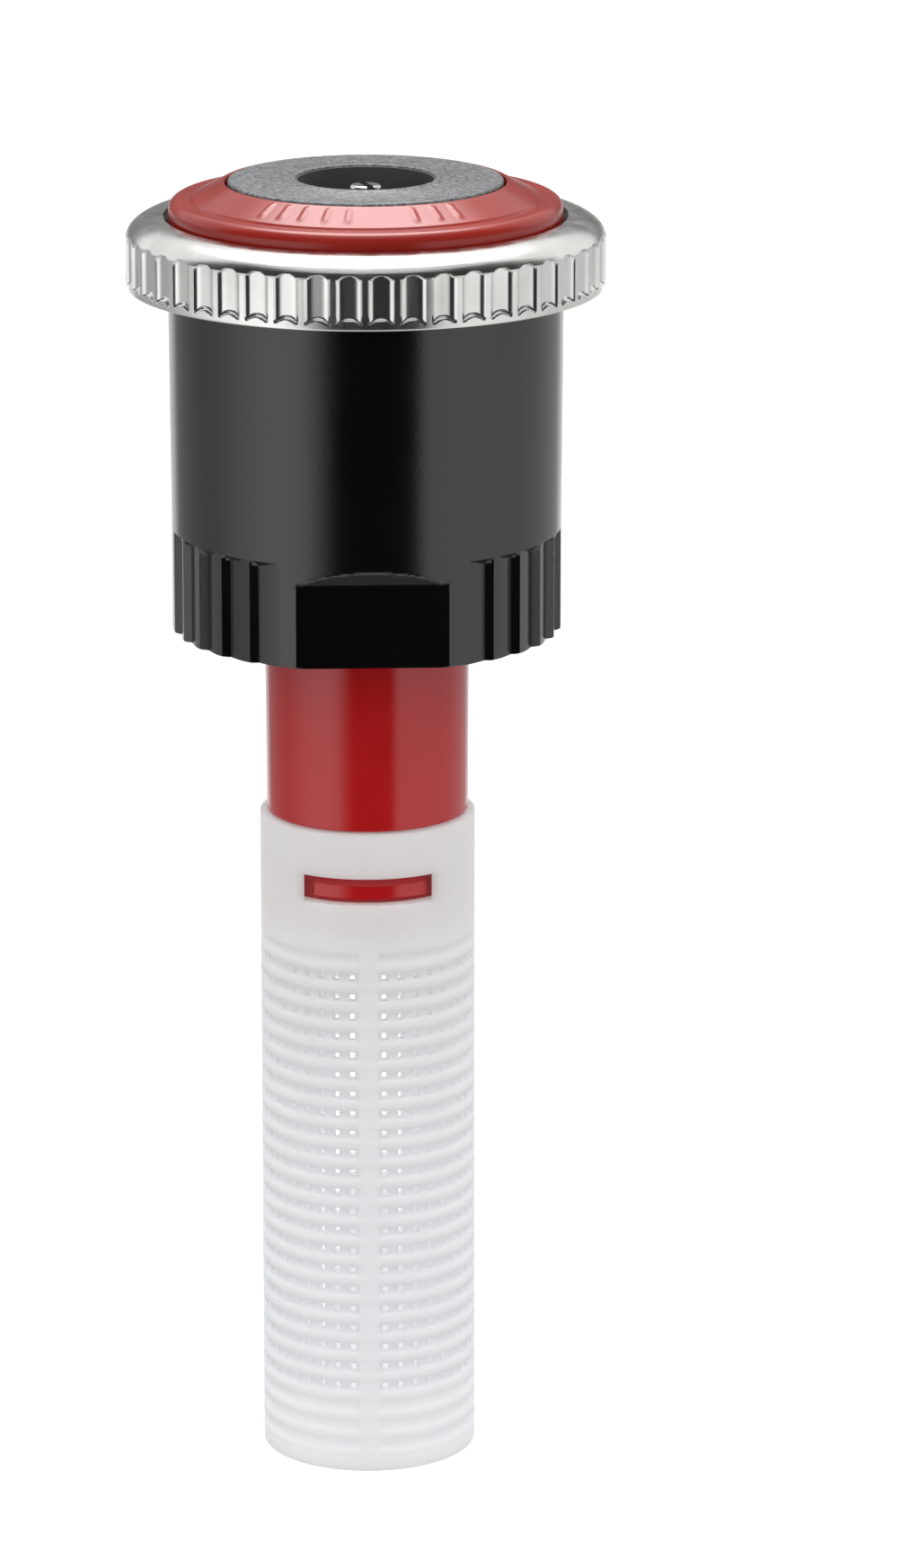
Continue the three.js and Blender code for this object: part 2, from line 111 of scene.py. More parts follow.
def between(start, end, longest):
    """Points from start to end, both left out, at most longest apart."""
    a, b = Vector(start), Vector(end)
    count = max(1, math.ceil((b - a).length / longest))
    return [tuple(a.lerp(b, step / count)) for step in range(1, count)]


def refined(outline, longest, wanted):
    """The outline with extra points on each edge whose middle wanted(radius, height) accepts."""
    points = []
    for index, here in enumerate(outline):
        ahead = outline[(index + 1) % len(outline)]
        points.append(here)
        if wanted((here[0] + ahead[0]) / 2, (here[1] + ahead[1]) / 2):
            points.extend(between(here, ahead, longest))
    return points


def even_angles(count):
    return [2 * math.pi * step / count for step in range(count)]


def merged_angles(*groups):
    """Angles of all the groups in one sorted turn, without near repeats."""
    turn = 2 * math.pi
    angles = sorted(angle % turn for group in groups for angle in group)
    kept = [angles[0]]
    for angle in angles[1:]:
        if angle - kept[-1] > 1e-4:
            kept.append(angle)
    if kept[0] + turn - kept[-1] < 1e-4:
        kept.pop()
    return kept


def finish_mesh(name, vertices, faces, material, sharp=35):
    """A smooth-shaded object from lists of millimetre points and faces, with its faces pointing out."""
    mesh = bpy.data.meshes.new(name)
    mesh.from_pydata([(x * MM, y * MM, z * MM) for x, y, z in vertices], [], faces)
    work = bmesh.new()
    work.from_mesh(mesh)
    bmesh.ops.recalc_face_normals(work, faces=work.faces)
    work.to_mesh(mesh)
    work.free()
    mesh.shade_smooth()
    mesh.set_sharp_from_angle(angle=math.radians(sharp))
    mesh.materials.append(material)
    piece = bpy.data.objects.new(name, mesh)
    bpy.context.scene.collection.objects.link(piece)
    return piece


def revolved(name, outline, material, angles=None, shape=None, sharp=35):
    """A solid of revolution of a closed outline. shape(radius, height, angle) may change a point's radius."""
    angles = angles or even_angles(192)
    vertices, rows, faces = [], [], []
    for radius, height in outline:
        first = len(vertices)
        if radius < 1e-6:
            vertices.append((0, 0, height))
            rows.append([first] * len(angles))
            continue
        for angle in angles:
            out = shape(radius, height, angle) if shape else radius
            vertices.append((out * math.cos(angle), out * math.sin(angle), height))
        rows.append(list(range(first, first + len(angles))))
    for index, row in enumerate(rows):
        ahead = rows[(index + 1) % len(rows)]
        for step in range(len(angles)):
            after = (step + 1) % len(angles)
            corners = [row[step], row[after], ahead[after], ahead[step]]
            unique = list(dict.fromkeys(corners))
            if len(unique) > 2:
                faces.append(unique)
    return finish_mesh(name, vertices, faces, material, sharp)


def turn_from(angle, centre):
    """Signed angle from centre to angle, within half a turn."""
    return (angle - centre + math.pi) % (2 * math.pi) - math.pi


def from_flats(angle):
    """Angle to the nearer of front and back, where the wrench flats and the lugs are."""
    return min(abs(turn_from(angle, FRONT)), abs(turn_from(angle, -FRONT)))


def stand_in(piece, node):
    """The piece replaces the CAD node and takes its body."""
    record = frame["record"]
    bodies = record["behaviour"]["bodies"]
    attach(piece, next(name for name, nodes in bodies.items() if node in nodes))
    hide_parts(node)
    return piece


def travel(joint_name):
    """Both ends of a joint's range, in metres from rest."""
    return next(joint for joint in frame["joints"] if joint["name"] == joint_name)["range_m"]


# ---- Materials ----


def node_tree(name):
    """A new material, its node tree and its shader."""
    material = bpy.data.materials.new(name)
    material.use_nodes = True
    tree = material.node_tree
    return material, tree, tree.nodes["Principled BSDF"]


def coordinates(tree, stretch=(1, 1, 1)):
    """Object coordinates, in metres, stretched along each axis."""
    source = tree.nodes.new("ShaderNodeTexCoord")
    mapping = tree.nodes.new("ShaderNodeMapping")
    mapping.inputs["Scale"].default_value = stretch
    tree.links.new(source.outputs["Object"], mapping.inputs["Vector"])
    return mapping.outputs["Vector"]


def noise(tree, vector, scale, detail=3.0, roughness=0.5):
    """Smooth noise between 0 and 1, mostly from 0.3 to 0.7. scale is in waves a metre."""
    texture = tree.nodes.new("ShaderNodeTexNoise")
    texture.inputs["Scale"].default_value = scale
    texture.inputs["Detail"].default_value = detail
    texture.inputs["Roughness"].default_value = roughness
    tree.links.new(vector, texture.inputs["Vector"])
    return texture.outputs["Fac"]


def spread(tree, value, low, high, start=0.3, end=0.7):
    """Maps a noise value from start..end to low..high."""
    ranged = tree.nodes.new("ShaderNodeMapRange")
    ranged.inputs["From Min"].default_value = start
    ranged.inputs["From Max"].default_value = end
    ranged.inputs["To Min"].default_value = low
    ranged.inputs["To Max"].default_value = high
    tree.links.new(value, ranged.inputs["Value"])
    return ranged.outputs["Result"]


def two_tone(tree, value, dark, light, start=0.35, end=0.65):
    """Colour that goes from dark to light as a noise value goes from start to end."""
    ramp = tree.nodes.new("ShaderNodeValToRGB")
    ramp.color_ramp.elements[0].position = start
    ramp.color_ramp.elements[1].position = end
    ramp.color_ramp.elements[0].color = (*dark, 1)
    ramp.color_ramp.elements[1].color = (*light, 1)
    tree.links.new(value, ramp.inputs["Fac"])
    return ramp.outputs["Color"]


def bump(tree, value, depth, under=None):
    """A normal bumped by a value, depth in millimetres."""
    node = tree.nodes.new("ShaderNodeBump")
    node.inputs["Strength"].default_value = 1
    node.inputs["Distance"].default_value = depth * MM
    tree.links.new(value, node.inputs["Height"])
    if under:
        tree.links.new(under, node.inputs["Normal"])
    return node.outputs["Normal"]


def plastic(name, dark, light, roughness, shine=0.5, gloss=0.0, depth_of_light=0.0):
    """Moulded plastic: faint colour drift, a fine skin grain and the slow waves of shrinkage.

    shine is the specular level, gloss the weight of a clear skin over it, and depth_of_light, in
    millimetres, how far light spreads inside a pale resin.
    """
    material, tree, shader = node_tree(name)
    vector = coordinates(tree)
    drift = noise(tree, vector, 180, detail=4)
    skin = noise(tree, vector, 3500, detail=2)
    waves = noise(tree, vector, 130, detail=1)
    tree.links.new(two_tone(tree, drift, dark, light), shader.inputs["Base Color"])
    rough = spread(tree, drift, roughness * 0.88, roughness * 1.12)
    tree.links.new(rough, shader.inputs["Roughness"])
    normal = bump(tree, skin, 0.004, bump(tree, waves, 0.01))
    tree.links.new(normal, shader.inputs["Normal"])
    shader.inputs["Specular IOR Level"].default_value = shine
    shader.inputs["Coat Weight"].default_value = gloss
    shader.inputs["Coat Roughness"].default_value = 0.12
    if depth_of_light:
        shader.inputs["Subsurface Weight"].default_value = 1
        shader.inputs["Subsurface Radius"].default_value = (1, 1, 1)
        shader.inputs["Subsurface Scale"].default_value = depth_of_light * MM
    return material


def painted_glow_inside(material, outer, inner, strength):
    """Painted light: a glow in a pale tube's wall for light let through it, none at the outer radius, strength at
    the inner one.
    """
    tree = material.node_tree
    flat = tree.nodes.new("ShaderNodeVectorMath")
    flat.operation = "LENGTH"
    tree.links.new(coordinates(tree, (1, 1, 0)), flat.inputs[0])
    # Emission by radius paints the glow, brightest at the wall's inner face.
    level = spread(tree, flat.outputs["Value"], strength, 0.0, inner * MM, outer * MM)
    shader = tree.nodes["Principled BSDF"]
    shader.inputs["Emission Color"].default_value = (1, 1, 1, 1)
    tree.links.new(level, shader.inputs["Emission Strength"])


def speckled(name, dark, light, roughness):
    """Grey plastic with a sparkling spark-eroded grain."""
    material, tree, shader = node_tree(name)
    vector = coordinates(tree)
    speck = noise(tree, vector, 4200, detail=3, roughness=0.7)
    pits = noise(tree, vector, 2300, detail=2)
    tree.links.new(two_tone(tree, speck, dark, light, 0.4, 0.62), shader.inputs["Base Color"])
    tree.links.new(spread(tree, pits, roughness * 0.8, roughness * 1.2), shader.inputs["Roughness"])
    tree.links.new(bump(tree, pits, 0.035, bump(tree, speck, 0.02)), shader.inputs["Normal"])
    return material


def steel(name, colour, roughness, stretch=(1, 1, 1)):
    """Metal with fine drawn lines along the axis that stretch makes long."""
    material, tree, shader = node_tree(name)
    lines = noise(tree, coordinates(tree, stretch), 900, detail=5, roughness=0.65)
    smear = noise(tree, coordinates(tree), 260, detail=3)
    shader.inputs["Metallic"].default_value = 1
    light = tuple(min(1, part * 1.06) for part in colour)
    dark = tuple(part * 0.9 for part in colour)
    tree.links.new(two_tone(tree, smear, dark, light), shader.inputs["Base Color"])
    tree.links.new(spread(tree, lines, roughness * 0.75, roughness * 1.3), shader.inputs["Roughness"])
    tree.links.new(bump(tree, lines, 0.003), shader.inputs["Normal"])
    return material


def rubber(name):
    """Dull black rubber, dusty in patches."""
    material, tree, shader = node_tree(name)
    dust = noise(tree, coordinates(tree), 700, detail=5, roughness=0.7)
    tone = two_tone(tree, dust, (0.012, 0.012, 0.012), (0.03, 0.03, 0.03))
    tree.links.new(tone, shader.inputs["Base Color"])
    tree.links.new(spread(tree, dust, 0.6, 0.85), shader.inputs["Roughness"])
    tree.links.new(bump(tree, dust, 0.02), shader.inputs["Normal"])
    return material


BLACK = plastic("body_black", (0.0006, 0.0006, 0.0007), (0.0012, 0.0012, 0.0013), 0.18, shine=0.85)
# Black of the inner parts; in the cap's key hole it is also painted shade.
INNER_BLACK = plastic("inner_black", (0.045, 0.045, 0.046), (0.06, 0.06, 0.061), 0.5)
STEM_RED = plastic("stem_red", (0.455, 0.002, 0.004), (0.495, 0.003, 0.005), 0.17, shine=0.7)
ROTOR_RED = plastic("rotor_red", (0.26, 0.009, 0.004), (0.3, 0.012, 0.005), 0.26, shine=0.5, gloss=0.1)
WHITE = plastic("filter_white", (0.88, 0.89, 0.925), (0.91, 0.92, 0.955), 0.38, depth_of_light=2.2)
# The filter's wall glows: painted light standing in for light let through its thin resin.
painted_glow_inside(WHITE, outer=6.5, inner=5.9, strength=0.18)
GREY = speckled("cap_grey", (0.057, 0.06, 0.064), (0.222, 0.222, 0.23), 0.45)
RING_STEEL = steel("ring_steel", (0.82, 0.81, 0.785), 0.2, stretch=(1, 1, 0.12))
SHAFT_STEEL = steel("shaft_steel", (0.72, 0.72, 0.72), 0.2, stretch=(0.2, 0.2, 1))
SPRING_STEEL = steel("spring_steel", (0.6, 0.6, 0.6), 0.25)
RUBBER = rubber("seal_rubber")
BEARING = plastic("bearing_plastic", (0.62, 0.58, 0.47), (0.7, 0.66, 0.55), 0.4)

# ---- Body ----

BODY_TOP_RADIUS, BODY_BOTTOM, BODY_TOP = span("nozzle_body")
BODY_RADIUS = 12.0
STRAIGHT_TOP, TAPER_TOP = 7, 20.8  # the skirt is straight below and widens a little above
BODY_BORE, BORE_FLOOR = 11.05, 9.4
O_RING_SEAT_RADIUS, O_RING_SEAT = 7.6, 8.85
STEM_BORE = 6.45
SKIRT_CEILING = 8.2
FLAT_OFFSET = 11.07
FLAT_TOP = 5.2
FLAT_ARCH = 1.5  # how far above its top the flat's cut runs out in the wall
GRIP_TOP = 6.4
GRIP_DEPTH = 0.38
GRIP_WALL = math.radians(1.9)
GRIP_STEP = math.radians(11)
GRIP_TEETH = [math.radians(38 + 11 * tooth) for tooth in range(5)]
THREAD_MAJOR, THREAD_MINOR, THREAD_PITCH = 7.94, 7.45, 0.907
THREAD_BOTTOM, THREAD_TOP, THREAD_FADE = 0.3, 6.9, 0.5


def grip_depth(angle):
    """How deep the grip teeth cut at an azimuth: a steep wall, then a slow slope back out."""
    away = abs(turn_from(angle, FRONT))
    away = min(away, math.pi - away)
    for tooth in GRIP_TEETH:
        into = tooth - away
        if 0 <= into < GRIP_WALL:
            return GRIP_DEPTH * into / GRIP_WALL
        if GRIP_WALL <= into < GRIP_STEP:
            return GRIP_DEPTH * (GRIP_STEP - into) / (GRIP_STEP - GRIP_WALL)
    return 0.0


def body_surface(radius, height, angle):
    """The skirt's wrench flats, grip teeth and inner thread."""
    if radius > BODY_BORE:
        flat = grip = radius
        if height < FLAT_TOP + FLAT_ARCH:
            flat = (FLAT_OFFSET + max(0.0, height - FLAT_TOP)) / max(math.cos(from_flats(angle)), 0.5)
        if height < GRIP_TOP:
            grip = BODY_RADIUS - min(grip_depth(angle), GRIP_TOP - height)
        return min(radius, flat, grip)
    if THREAD_MINOR < radius < THREAD_MAJOR + 0.01 and THREAD_BOTTOM < height < THREAD_TOP:
        phase = (height / THREAD_PITCH - angle / (2 * math.pi)) % 1
        fade = min(1.0, (height - THREAD_BOTTOM) / THREAD_FADE, (THREAD_TOP - height) / THREAD_FADE)
        crest = min(1.0, 1.25 * (1 - abs(2 * phase - 1)))
        return THREAD_MAJOR - (THREAD_MAJOR - THREAD_MINOR) * crest * fade
    return radius


def body_angles():
    """Even steps, with an edge wherever a flat or a grip tooth turns a corner."""
    corners = [math.acos(FLAT_OFFSET / BODY_RADIUS)]
    for tooth in GRIP_TEETH:
        corners += [tooth, tooth - GRIP_WALL]
    corners.append(GRIP_TEETH[0] - GRIP_STEP)
    mirrored = [FRONT + side * corner for corner in corners for side in (-1, 1)]
    mirrored += [angle + math.pi for angle in mirrored]
    return merged_angles(even_angles(240), mirrored)


def make_body():
    """The black body: a cup above for the ring's carrier, and a threaded skirt below."""
    outline = rounded([
        (BODY_RADIUS, BODY_BOTTOM, 0.12),
        (BODY_RADIUS, STRAIGHT_TOP),
        (BODY_TOP_RADIUS, TAPER_TOP),
        (BODY_TOP_RADIUS, BODY_TOP, 0.15),
        (BODY_BORE, BODY_TOP, 0.15),
        (BODY_BORE, BORE_FLOOR),
        (O_RING_SEAT_RADIUS, BORE_FLOOR),
        (O_RING_SEAT_RADIUS, O_RING_SEAT),
        (STEM_BORE, O_RING_SEAT),
        (STEM_BORE, SKIRT_CEILING),
        (THREAD_MAJOR, SKIRT_CEILING),
        (THREAD_MAJOR, THREAD_BOTTOM),
        (THREAD_MAJOR + 0.3, BODY_BOTTOM, 0.05),
    ])
    outline = refined(outline, 0.09, lambda radius, height: abs(radius - THREAD_MAJOR) < 0.06)
    outline = refined(outline, 0.12, lambda radius, height: radius > BODY_BORE and height < STRAIGHT_TOP)
    piece = revolved("body_shell", outline, BLACK, body_angles(), body_surface, sharp=22)
    stand_in(piece, "nozzle_body")


# ---- Stem ----

STEM_RADIUS, STEM_BOTTOM, STEM_TOP = 6.32, *span("inlet_stem")[1:]
STEM_FLANGE_RADIUS, STEM_FLANGE_BOTTOM = 8.5, 9.5
SPIGOT_RADIUS, SPIGOT_TOP = 5.75, -11.6  # the narrow end that the filter slides on
STEM_BORE_ABOVE, STEM_BORE_BELOW = 5.2, 4.9
VALVE_SEAT_RADIUS, VALVE_SEAT_BOTTOM, VALVE_SEAT_TOP = 3.4, -4.2, -3.4
LUG_RADIUS, LUG_BOTTOM, LUG_TOP = 6.2, -16.05, -14.65
LUG_HALF_ANGLE = math.radians(34)
LUG_HEEL, LUG_SLOPE = 0.15, 0.4  # heights over which a lug rises, from below and from above


def stem_surface(radius, height, angle):
    """The snap lugs on the spigot, front and back."""
    on_spigot = radius > STEM_BORE_ABOVE and LUG_BOTTOM < height < LUG_TOP
    if not on_spigot or from_flats(angle) >= LUG_HALF_ANGLE:
        return radius
    rise = min(1.0, (height - LUG_BOTTOM) / LUG_HEEL, (LUG_TOP - height) / LUG_SLOPE)
    return radius + (LUG_RADIUS - radius) * rise


def make_stem():
    """The red tube, with the throttle's seat inside it."""
    outline = rounded([
        (SPIGOT_RADIUS, STEM_BOTTOM, 0.15),
        (SPIGOT_RADIUS, SPIGOT_TOP),
        (SPIGOT_RADIUS + 0.5, SPIGOT_TOP, 0.08),
        (STEM_RADIUS, 0),
        (STEM_RADIUS, STEM_FLANGE_BOTTOM),
        (STEM_FLANGE_RADIUS, STEM_FLANGE_BOTTOM, 0.1),
        (STEM_FLANGE_RADIUS, STEM_TOP, 0.1),
        (STEM_BORE_ABOVE, STEM_TOP, 0.1),
        (STEM_BORE_ABOVE, VALVE_SEAT_TOP),
        (VALVE_SEAT_RADIUS, VALVE_SEAT_TOP, 0.1),
        (VALVE_SEAT_RADIUS, VALVE_SEAT_BOTTOM, 0.1),
        (STEM_BORE_BELOW, VALVE_SEAT_BOTTOM),
        (STEM_BORE_BELOW, STEM_BOTTOM, 0.15),
    ])
    outline = refined(outline, 0.1, lambda radius, height: abs(radius - SPIGOT_RADIUS) < 0.05)
    edges = [FRONT + half + side * (LUG_HALF_ANGLE + nudge)
             for half in (0, math.pi) for side in (-1, 1) for nudge in (-0.001, 0.001)]
    piece = revolved("stem_tube", outline, STEM_RED, merged_angles(even_angles(192), edges), stem_surface)
    stand_in(piece, "inlet_stem")


# ---- Filter ----

FILTER_RADIUS, FILTER_BOTTOM, FILTER_TOP = span("filter_basket")
FILTER_FRONT = FRONT - math.radians(1.6)  # it sits turned a little
COLLAR_BORE = 5.85
MESH_TOP, MESH_PITCH = -19.3, 1.272
MESH_ROWS = 26
OPEN_ROWS = range(1, 23)  # the first row and the last ones are only grooves
MESH_BOTTOM = MESH_TOP - MESH_ROWS * MESH_PITCH
BAR_FACE = 6.56  # radius of the vertical bars' outer faces, behind the ribs
RIB_BACK = 6.05  # radius of the horizontal ribs' backs, between the bars
RIB_SHARE = 0.6  # of the pitch
RIB_STEPS = 6
HOLES = 9  # between two uprights
HOLE_PITCH = math.radians(9)
HOLE_HALF_WIDTH = math.radians(1.8)
UPRIGHT_HALF_WIDTH = math.radians(4.7)
WINDOW_BOTTOM, WINDOW_TOP = -16.2, -14.5
WINDOW_HALF_ANGLE = math.radians(36)
RIM_CHAMFER = 0.07
FLOOR_TOP = MESH_BOTTOM - 0.1


def from_upright(angle):
    """Angle to the nearest of the four solid uprights."""
    return abs(turn_from(4 * angle, 4 * FILTER_FRONT)) / 4


def from_window(angle):
    """Signed angle to the nearest of the two windows, front and back."""
    return turn_from(2 * angle, 2 * FILTER_FRONT) / 2


def splayed(angle):
    """Azimuth on the inner wall behind this one on the outer wall, so a window's sides run straight back."""
    away = from_window(angle)
    wide = math.asin(FILTER_RADIUS * math.sin(WINDOW_HALF_ANGLE) / COLLAR_BORE)
    if abs(away) <= WINDOW_HALF_ANGLE:
        target = abs(away) * wide / WINDOW_HALF_ANGLE
    else:
        share = (math.pi / 2 - abs(away)) / (math.pi / 2 - WINDOW_HALF_ANGLE)
        target = math.pi / 2 - share * (math.pi / 2 - wide)
    return angle - away + math.copysign(target, away)


def in_hole_column(angle):
    away = from_upright(angle)
    from_hole = abs((away + HOLE_PITCH / 2) % HOLE_PITCH - HOLE_PITCH / 2)
    return away > UPRIGHT_HALF_WIDTH and from_hole < HOLE_HALF_WIDTH


def filter_angles():
    """An edge at both sides of every upright, hole and window."""
    sides = []
    for quadrant in range(4):
        upright = FILTER_FRONT + quadrant * math.pi / 2
        sides += [(upright, UPRIGHT_HALF_WIDTH), (upright, UPRIGHT_HALF_WIDTH + 0.012)]
        for hole in range(1, HOLES + 1):
            middle = upright + hole * HOLE_PITCH
            sides += [(middle, HOLE_HALF_WIDTH), (middle, HOLE_HALF_WIDTH * 0.85)]
    for half in (0, math.pi):
        sides.append((FILTER_FRONT + half, WINDOW_HALF_ANGLE))
    return merged_angles([middle + side * width for middle, width in sides for side in (-1, 1)])


def filter_rows():
    """The wall's rows from the top down, each (height, rib, open).

    rib is how far the outer face stands out, from 0 to 1, and open says that holes or the windows run
    from this row down to the next.
    """
    rows = [
        (FILTER_TOP, 1.0, False),
        (FILTER_TOP - 0.08, 1.0, False),
        (WINDOW_TOP + 0.03, 1.0, False),
        (WINDOW_TOP, 1.0, True),
        (WINDOW_BOTTOM, 1.0, False),
        (MESH_TOP, 1.0, False),
    ]
    gap = MESH_PITCH * (1 - RIB_SHARE)
    for row in range(MESH_ROWS):
        top = MESH_TOP - row * MESH_PITCH
        rows.append((top - 0.02, 0.0, row in OPEN_ROWS))
        rows.append((top - gap, 0.0, False))
        for step in range(1, RIB_STEPS):
            across = 2 * step / RIB_STEPS - 1
            height = top - gap - MESH_PITCH * RIB_SHARE * step / RIB_STEPS
            rows.append((height, math.sqrt(1 - across ** 2), False))
    rows.append((MESH_BOTTOM, 1.0, False))
    return rows


def wall_radii(height, rib, angle):
    """Outer and inner radius of the filter's wall."""
    if height == FILTER_TOP:
        return FILTER_RADIUS - RIM_CHAMFER, COLLAR_BORE
    on_upright = from_upright(angle) <= UPRIGHT_HALF_WIDTH + 1e-6
    if on_upright or not MESH_BOTTOM < height < MESH_TOP:
        return FILTER_RADIUS, COLLAR_BORE
    has_holes = (MESH_TOP - height) // MESH_PITCH in OPEN_ROWS
    back = RIB_BACK if has_holes and in_hole_column(angle) else COLLAR_BORE
    return BAR_FACE + (FILTER_RADIUS - BAR_FACE) * rib, back


def close_below(vertices, faces, row, angles, profile):
    """Joins a row of corners to a profile of [radius, height] that ends on the axis."""
    count = len(angles)
    for radius, height in profile:
        first = len(vertices)
        if radius < 1e-6:
            vertices.append((0, 0, height))
            faces.extend([row[step], row[(step + 1) % count], first] for step in range(count))
            return
        vertices.extend((radius * math.cos(angle), radius * math.sin(angle), height) for angle in angles)
        ahead = list(range(first, first + count))
        for step in range(count):
            after = (step + 1) % count
            faces.append([row[step], row[after], ahead[after], ahead[step]])
        row = ahead


def make_filter():
    """Two grids of corners, the wall's outer and inner face, joined round every hole and at the top."""
    angles = filter_angles()
    rows = filter_rows()
    count = len(angles)
    outer, inner = [], []
    for height, rib, _ in rows:
        for angle in angles:
            face, back = wall_radii(height, rib, angle)
            turned = splayed(angle) if height in (WINDOW_TOP, WINDOW_BOTTOM) else angle
            outer.append((face * math.cos(angle), face * math.sin(angle), height))
            inner.append((back * math.cos(turned), back * math.sin(turned), height))
    vertices, faces = outer + inner, []

    def corner(row, step, side=0):
        """Number of a corner on the outer face, or on the inner one at side 1."""
        return side * len(outer) + row * count + step % count

    def open_cell(row, step):
        """True where the wall is cut through between this row and the next."""
        height, _, is_open = rows[row]
        middle = angles[step] + ((angles[(step + 1) % count] - angles[step]) % (2 * math.pi)) / 2
        if height > MESH_TOP:
            return is_open and abs(from_window(middle)) < WINDOW_HALF_ANGLE
        return is_open and in_hole_column(middle)

    cells = [(row, step) for row in range(len(rows) - 1) for step in range(count)]
    opened = [cell for cell in cells if open_cell(*cell)]
    cut = set(opened)
    for row, step in cells:
        if (row, step) in cut:
            continue
        for side in (0, 1):
            faces.append([corner(row, step, side), corner(row, step + 1, side),
                          corner(row + 1, step + 1, side), corner(row + 1, step, side)])
    for row, step in opened:
        walls = {
            (row - 1, step): ((row, step), (row, step + 1)),
            (row + 1, step): ((row + 1, step), (row + 1, step + 1)),
            (row, (step - 1) % count): ((row, step), (row + 1, step)),
            (row, (step + 1) % count): ((row, step + 1), (row + 1, step + 1)),
        }
        for neighbour, (a, b) in walls.items():
            if neighbour not in cut:
                faces.append([corner(*a), corner(*b), corner(*b, 1), corner(*a, 1)])
    for step in range(count):
        faces.append([corner(0, step), corner(0, step + 1), corner(0, step + 1, 1), corner(0, step, 1)])

    last = len(rows) - 1
    foot = rounded([(FILTER_RADIUS, FLOOR_TOP), (FILTER_RADIUS, FILTER_BOTTOM, 0.3), (0, FILTER_BOTTOM)])
    floor = [(COLLAR_BORE - 0.1, FLOOR_TOP), (0, FLOOR_TOP)]
    for side, profile in ((0, foot), (1, floor)):
        close_below(vertices, faces, [corner(last, step, side) for step in range(count)], angles, profile)
    piece = finish_mesh("filter_mesh", vertices, faces, WHITE, sharp=50)
    stand_in(piece, "filter_basket")


# ---- Arc ring ----

RING_RADIUS, RING_BOTTOM, RING_TOP = span("adjustment_ring")
RING_SHOULDER, RING_CREST = 24.45, 12.35
RING_BORE, LIP_BOTTOM = 13.5, 25.05
FLUTES = 48
FLUTE_PITCH = 2 * math.pi / FLUTES
FLUTE_TURN = math.radians(1.75)  # the ring stands turned a little
FLUTE_DEPTH = 0.22
FLUTE_EDGE = 0.41  # half width of a flute's mouth, in pitches
FLUTE_BOTTOM, FLUTE_TOP = 21.75, 24.8
ARCH_HEIGHT = 0.28  # how much higher both ends of a flute reach in its middle than at its sides
LEDGE_HEIGHT, HEAD_HEIGHT = 0.18, 0.07  # of the slopes out of the flute, below and above
LEDGE_START, LEDGE_END = FLUTE_BOTTOM - 0.05, FLUTE_BOTTOM + ARCH_HEIGHT + LEDGE_HEIGHT + 0.05


def ring_surface(radius, height, angle):
    """Shallow flutes with arched ends: a sloping ledge below and a steep head in the shoulder."""
    across = abs(((angle - FLUTE_TURN) / FLUTE_PITCH + 0.5) % 1 - 0.5) / FLUTE_EDGE
    if radius < RING_RADIUS - FLUTE_DEPTH - 0.3 or height < FLUTE_BOTTOM or across > 1:
        return radius
    depth = FLUTE_DEPTH * (1 - across ** 5)
    arch = ARCH_HEIGHT * max(0.0, 1 - (across / 0.8) ** 2)
    from_foot = (height - FLUTE_BOTTOM - arch) / LEDGE_HEIGHT
    from_head = (FLUTE_TOP - ARCH_HEIGHT + arch - height) / HEAD_HEIGHT
    return min(radius, RING_RADIUS - depth * min(1.0, max(0.0, min(from_foot, from_head))))


def ring_angles():
    """Wide steps over a flute's floor and close ones where its sides steepen."""
    shares = [0, 0.25, 0.45, 0.6, 0.7, 0.8, 0.87, 0.94, 1.0, 1.01, 1.2]
    across = [side * share * FLUTE_EDGE for share in shares for side in (-1, 1)]
    turns = [flute + part for flute in range(FLUTES) for part in across]
    return merged_angles([FLUTE_TURN + turn * FLUTE_PITCH for turn in turns])


def make_ring():
    """The fluted steel ring, with close rows of points where its flutes begin and end."""
    outline = rounded([
        (RING_BORE, RING_BOTTOM, 0.1),
        (RING_RADIUS, RING_BOTTOM, 0.2),
        (RING_RADIUS, LEDGE_START),
        (RING_RADIUS, LEDGE_END),
        *quarter(RING_CREST, RING_SHOULDER, RING_RADIUS - RING_CREST, RING_TOP - RING_SHOULDER),
        (RING_CREST, LIP_BOTTOM),
        (RING_BORE, LIP_BOTTOM),
    ], steps=6)
    wall = RING_RADIUS - 0.25
    zones = [
        (LEDGE_START, LEDGE_END, 0.045),
        (LEDGE_END, RING_SHOULDER, 0.3),
        (RING_SHOULDER, RING_TOP, 0.045),
    ]
    for low, high, longest in zones:
        outline = refined(outline, longest, lambda radius, height: radius > wall and low < height < high)
    piece = revolved("grip_ring", outline, RING_STEEL, ring_angles(), ring_surface, sharp=40)
    stand_in(piece, "adjustment_ring")


CARRIER_RADIUS, CARRIER_SKIRT_BORE, CARRIER_BOTTOM, CARRIER_TOP = 13.4, 12.45, 21.6, 24.9
CUP_RADIUS, CUP_BORE, CUP_BOTTOM, CUP_FLOOR = 10.7, 10.2, 12.0, 12.6
CUP_HOLE = 4.3
CARRIER_LIP_BOTTOM = 23.95


